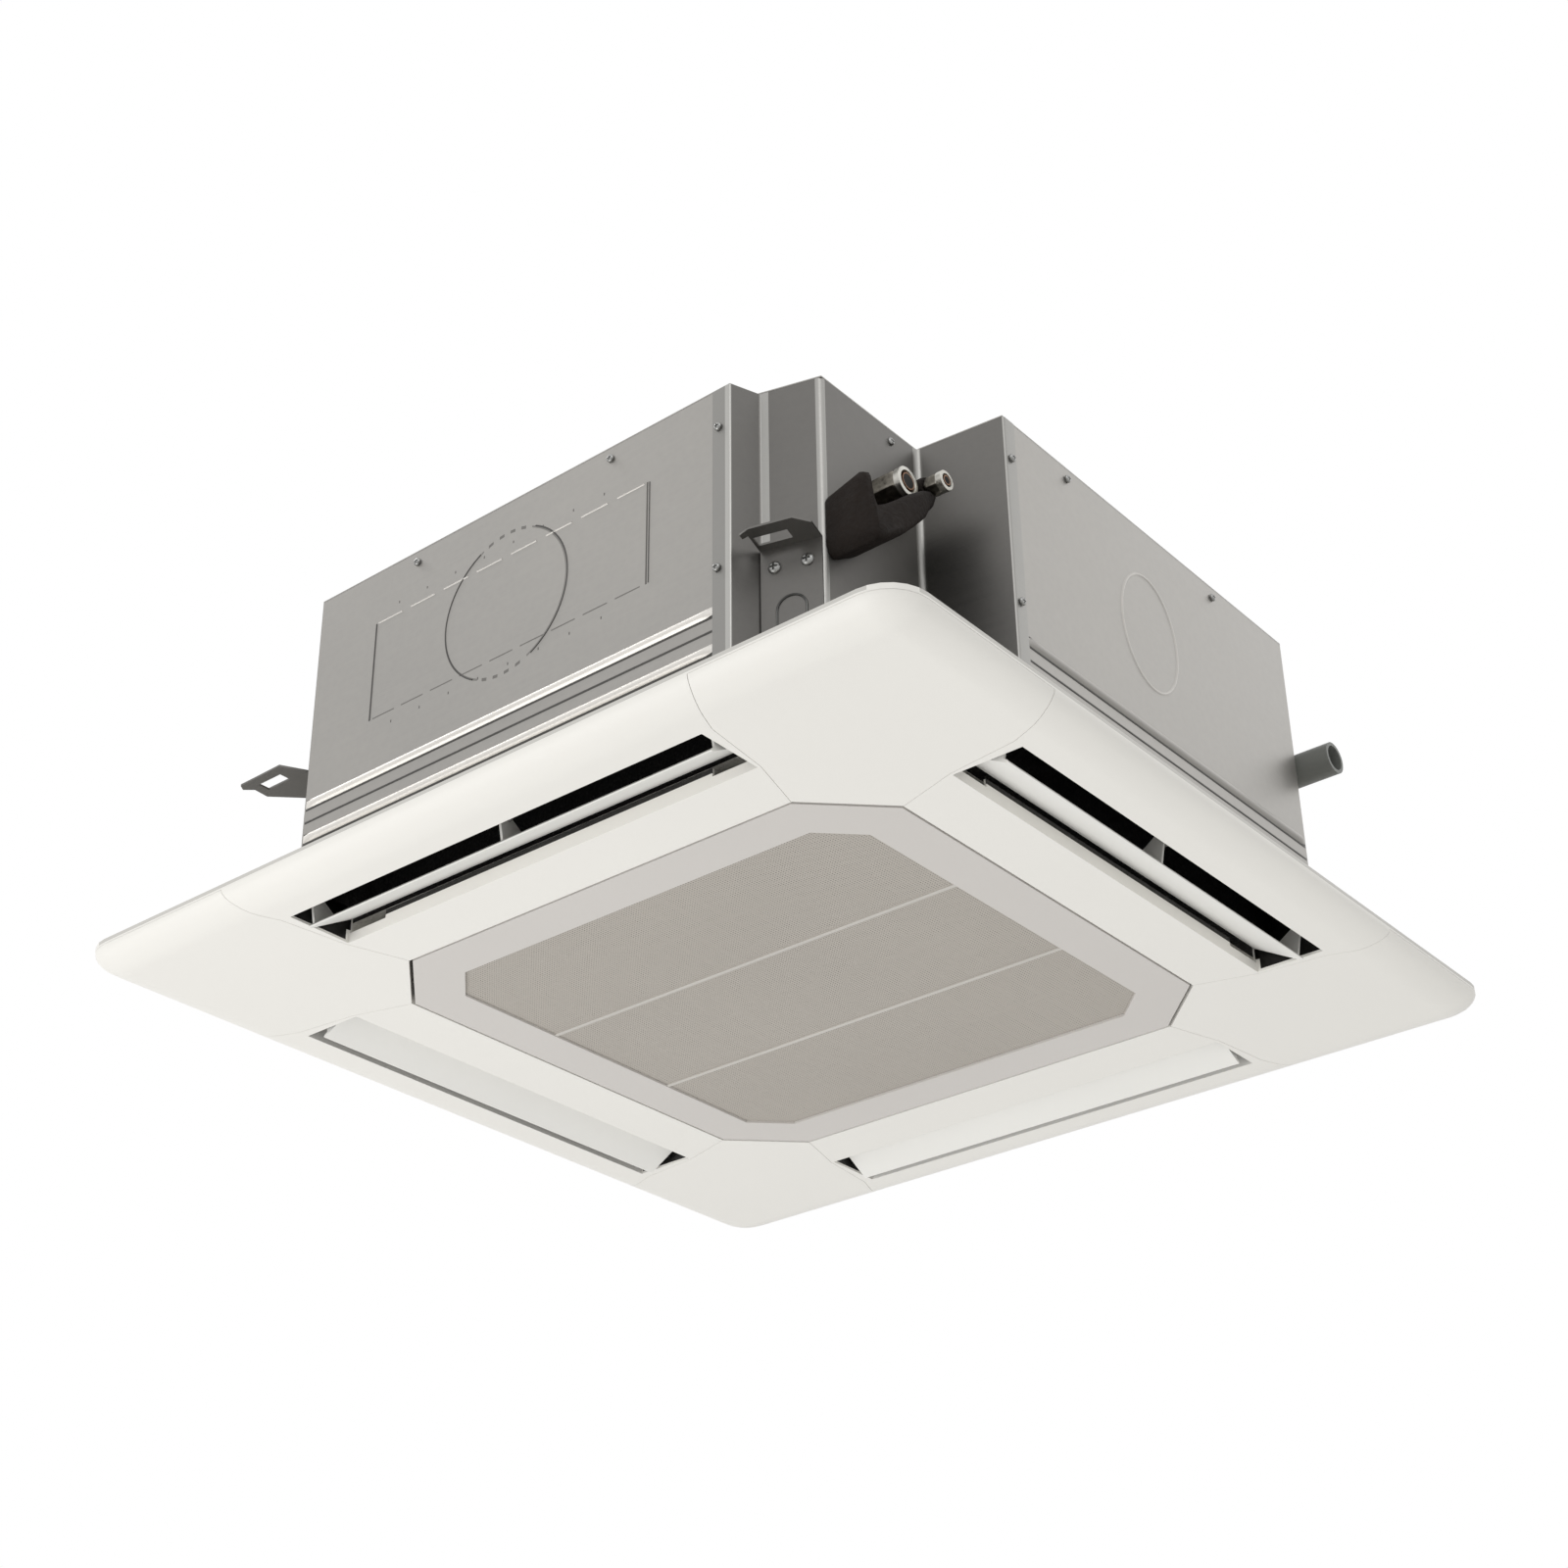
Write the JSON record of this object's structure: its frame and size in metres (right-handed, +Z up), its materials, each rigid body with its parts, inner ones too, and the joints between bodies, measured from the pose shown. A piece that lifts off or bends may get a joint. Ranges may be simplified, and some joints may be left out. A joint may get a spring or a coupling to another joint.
{
  "type": "ceiling cassette air conditioner",
  "caption": "Ceiling cassette indoor unit: galvanised casing with coil, fan, drain and piping, and a square white panel with swinging air vanes and a hinged intake grille.",
  "frame": {"origin": "midway between the four hanging slots, level with the top face of the bracket tongues", "axes": "+Z up; the piping corner is at +X -Y, the drain socket faces +X, and the intake grille is hinged along its +Y edge"},
  "size_m": [0.95, 0.95, 0.3389],
  "materials": {
    "galvanised_steel": "satin",
    "bright_steel": "satin",
    "white_foam": "matte",
    "fin_aluminium": "satin",
    "dark_plastic": "matte",
    "grey_plastic": "matte",
    "black_rubber": "matte",
    "board_green": "satin",
    "copper": "satin",
    "flare_brass": "satin",
    "panel_white": "satin",
    "vane_white": "satin",
    "grille_grey": "satin",
    "lattice_taupe": "matte"
  },
  "bodies": {
    "unit": {"top_plate": "galvanised_steel", "side_panel_a": "galvanised_steel", "piping_corner_plate": "galvanised_steel", "side_panel_b": "galvanised_steel", "drain_corner_plate": "galvanised_steel", "side_panel_c": "galvanised_steel", "far_corner_plate": "galvanised_steel", "side_panel_d": "galvanised_steel", "left_corner_plate": "galvanised_steel", "casing_insulation": "white_foam", "hanging_bracket_piping": "galvanised_steel", "hanging_bracket_left": "galvanised_steel", "hanging_bracket_far": "galvanised_steel", "hanging_bracket_drain": "galvanised_steel", "heat_exchanger": "fin_aluminium", "coil_end_plate_a": "galvanised_steel", "coil_end_plate_b": "galvanised_steel", "drain_pan": "white_foam", "drain_pump": "dark_plastic", "drain_socket": "grey_plastic", "drain_hose": "black_rubber", "float_switch": "grey_plastic", "fan_motor": "fin_aluminium", "motor_mount_1": "black_rubber", "motor_mount_2": "black_rubber", "motor_mount_3": "black_rubber", "bell_mouth": "dark_plastic", "control_box": "galvanised_steel", "control_box_lid": "galvanised_steel", "control_board": "board_green", "terminal_block": "dark_plastic", "gas_pipe": "copper", "liquid_pipe": "copper", "gas_flare_nut": "flare_brass", "liquid_flare_nut": "flare_brass", "pipe_cover": "black_rubber", "panel_frame": "panel_white", "corner_cover_piping": "panel_white", "corner_cover_drain": "panel_white", "corner_cover_far": "panel_white", "corner_cover_left": "panel_white", "vane_motor_a": "grey_plastic", "vane_motor_b": "grey_plastic", "vane_motor_c": "grey_plastic", "vane_motor_d": "grey_plastic"},
    "fan": {"motor_shaft": "bright_steel", "fan_nut": "bright_steel", "fan_impeller": "dark_plastic", "fan_shroud": "dark_plastic"},
    "pump_rotor": {"pump_impeller": "grey_plastic"},
    "level_float": {"float": "white_foam"},
    "vane_a": {"vane_a": "vane_white"},
    "vane_b": {"vane_b": "vane_white"},
    "vane_c": {"vane_c": "vane_white"},
    "vane_d": {"vane_d": "vane_white"},
    "intake_grille": {"grille_frame": "grille_grey", "grille_lattice": "lattice_taupe", "air_filter": "dark_plastic"},
    "catch_1": {"grille_catch_1": "grille_grey"},
    "catch_2": {"grille_catch_2": "grille_grey"}
  },
  "joints": [
    {"name": "fan_spin", "type": "hinge", "parent": "unit", "child": "fan", "pos_m": [0, 0, 0], "axis": [0, 0, 1], "continuous": true},
    {"name": "pump_spin", "type": "hinge", "parent": "unit", "child": "pump_rotor", "pos_m": [0.3, 0.275, -0.07], "axis": [0, 0, 1], "continuous": true},
    {"name": "float_rise", "type": "slide", "parent": "unit", "child": "level_float", "axis": [0, 0, 1], "range_m": [0, 0.015]},
    {"name": "vane_a_swing", "type": "hinge", "parent": "unit", "child": "vane_a", "pos_m": [0, -0.3988, -0.1459], "axis": [1, 0, 0], "range_deg": [-30, 30]},
    {"name": "vane_b_swing", "type": "hinge", "parent": "unit", "child": "vane_b", "pos_m": [0.3988, 0, -0.1459], "axis": [0, 1, 0], "range_deg": [-30, 30]},
    {"name": "vane_c_swing", "type": "hinge", "parent": "unit", "child": "vane_c", "pos_m": [0, 0.3988, -0.1459], "axis": [-1, 0, 0], "range_deg": [-30, 30]},
    {"name": "vane_d_swing", "type": "hinge", "parent": "unit", "child": "vane_d", "pos_m": [-0.3988, 0, -0.1459], "axis": [0, -1, 0], "range_deg": [-30, 30]},
    {"name": "grille_swing", "type": "hinge", "parent": "unit", "child": "intake_grille", "pos_m": [0, 0.28, -0.1665], "axis": [1, 0, 0], "range_deg": [0, 65]},
    {"name": "catch_1_slide", "type": "slide", "parent": "intake_grille", "child": "catch_1", "axis": [0, 1, 0], "range_m": [0, 0.005], "stiffness_N_per_m": 150, "springref_m": -0.006},
    {"name": "catch_2_slide", "type": "slide", "parent": "intake_grille", "child": "catch_2", "axis": [0, 1, 0], "range_m": [0, 0.005], "stiffness_N_per_m": 150, "springref_m": -0.006}
  ]
}
